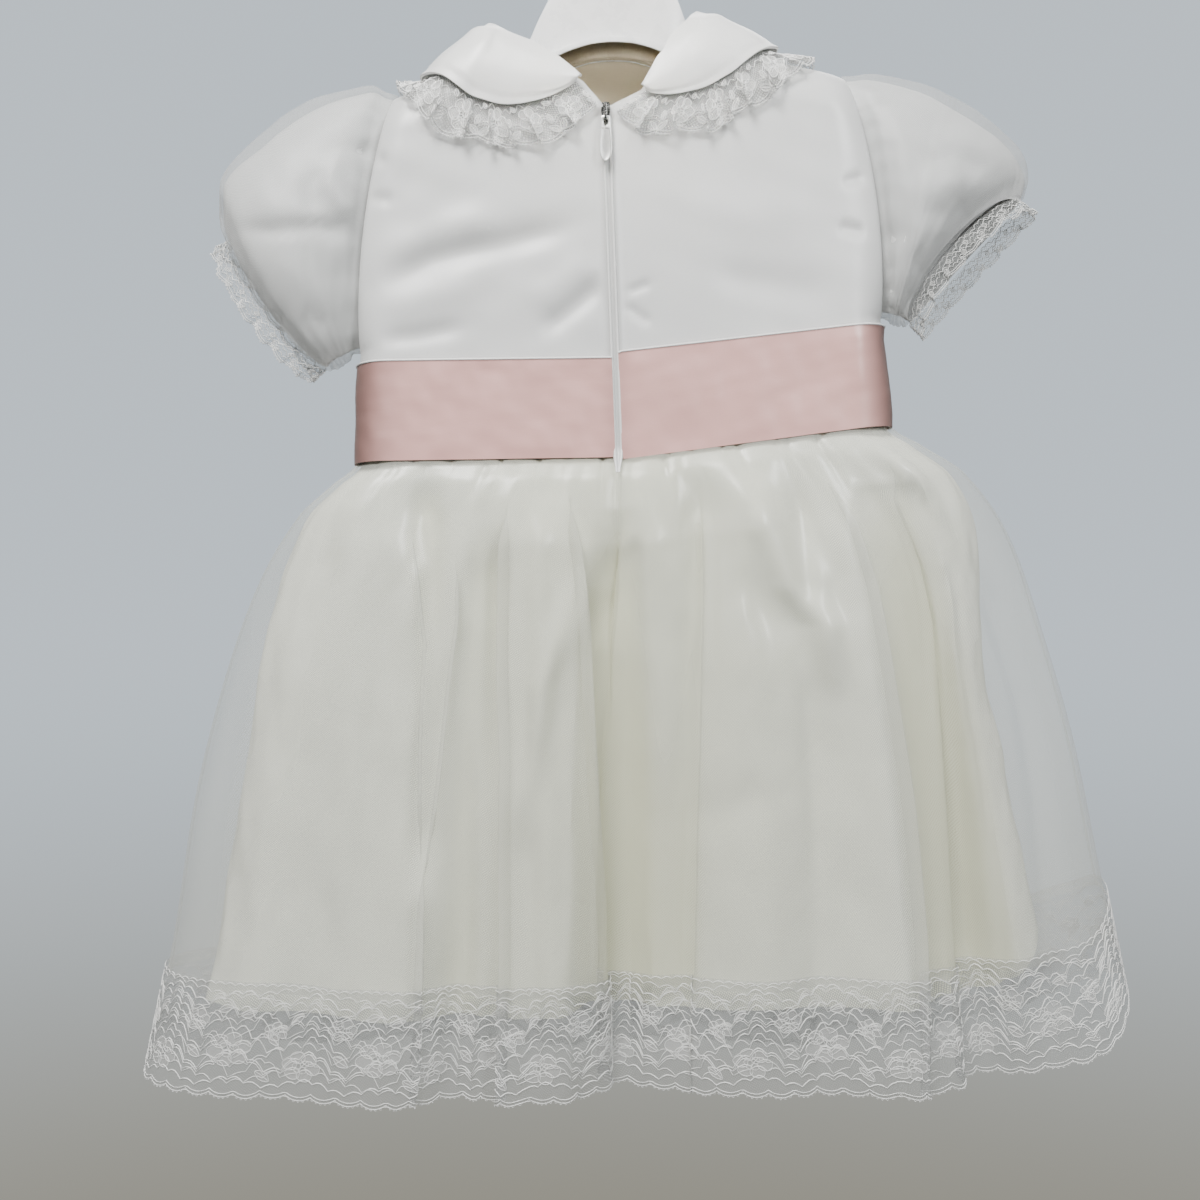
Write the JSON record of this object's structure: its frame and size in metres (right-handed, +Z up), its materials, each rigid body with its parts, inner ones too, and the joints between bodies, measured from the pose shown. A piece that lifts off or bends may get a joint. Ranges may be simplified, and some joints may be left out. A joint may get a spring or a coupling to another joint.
{
  "type": "christening gown on a hanger",
  "caption": "Baby's christening gown with puff sleeves, round collar, sash and lace hem, hung with its zip side out on a moulded hanger.",
  "frame": {"origin": "top of the inside of the hanger's hook, where the rail or nail bears", "axes": "+Z up; +X to the wearer's right; +Y to the wearer's front, so the zipped back faces -Y"},
  "size_m": [0.5031, 0.0902, 0.6622],
  "materials": {
    "white_plastic": "smooth moulded white plastic, soft gloss",
    "ivory_satin": "ivory satin, soft sheen",
    "ivory_tulle": "sheer ivory tulle",
    "ivory_organza": "sheer ivory organza",
    "ivory_lace": "floral lace on net, scalloped edges",
    "pink_satin": "dusty pink satin ribbon",
    "zip_tape": "woven white tape",
    "nickel": "nickel plate"
  },
  "bodies": {
    "gown": {"hanger_hook": "white_plastic", "hanger_body": "white_plastic", "bodice_back_left": "ivory_satin", "bodice_back_right": "ivory_satin", "bodice_front": "ivory_satin", "sash_back_left": "pink_satin", "sash_back_right": "pink_satin", "sash_front": "pink_satin", "sleeve_organza_left": "ivory_organza", "sleeve_organza_right": "ivory_organza", "sleeve_satin_left": "ivory_satin", "sleeve_satin_right": "ivory_satin", "cuff_lace_left": "ivory_lace", "cuff_lace_right": "ivory_lace", "collar_left": "ivory_satin", "collar_right": "ivory_satin", "collar_lace_left": "ivory_lace", "collar_lace_right": "ivory_lace", "skirt_satin_back_left": "ivory_satin", "skirt_satin_front": "ivory_satin", "skirt_satin_back_right": "ivory_satin", "skirt_tulle_back_left": "ivory_tulle", "skirt_tulle_front": "ivory_tulle", "skirt_tulle_back_right": "ivory_tulle", "hem_lace": "ivory_lace", "zip_tape": "zip_tape", "zip_slider": "nickel"},
    "pull_tab": {"zip_pull": "nickel"}
  },
  "joints": [
    {"name": "pull_swing", "type": "hinge", "parent": "gown", "child": "pull_tab", "pos_m": [-0.0032, -0.027, -0.168], "axis": [-1, 0, 0], "range_deg": [0, 130]}
  ]
}
